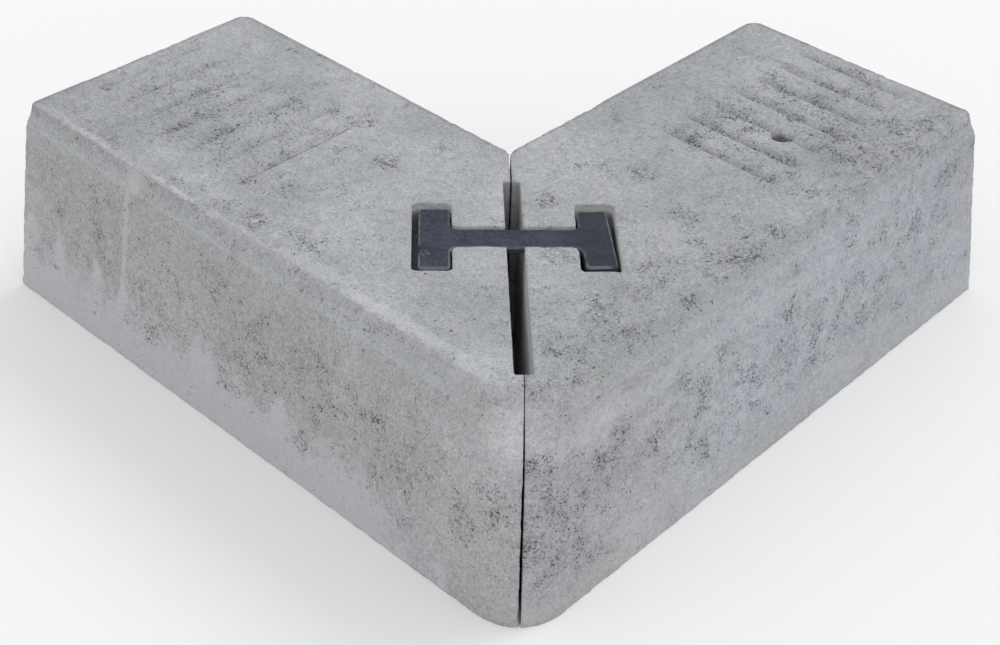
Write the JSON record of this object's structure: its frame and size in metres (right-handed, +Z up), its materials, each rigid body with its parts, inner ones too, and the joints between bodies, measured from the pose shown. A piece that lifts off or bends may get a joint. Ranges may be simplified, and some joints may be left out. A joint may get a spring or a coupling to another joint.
{
  "type": "corner retaining wall block",
  "caption": "Right-angled concrete corner block for a dry-laid retaining wall, in mitred halves locked by a plastic key let into the top.",
  "frame": {"origin": "centre of the block's bounding box in plan, on the floor that it stands on", "axes": "+Z up; the mitre is the plane X = 0 and the outer corner points to -Y, so +X is the right arm's side and +Y looks into the inner corner"},
  "size_m": [0.8062, 0.5614, 0.16],
  "materials": {
    "concrete": "rough dry-cast concrete, light grey with pits and pale bloom",
    "key_plastic": "matt dark slate grey moulding"
  },
  "bodies": {
    "root": {"left_half_block": "concrete", "right_half_block": "concrete", "locking_key": "key_plastic"}
  },
  "joints": []
}
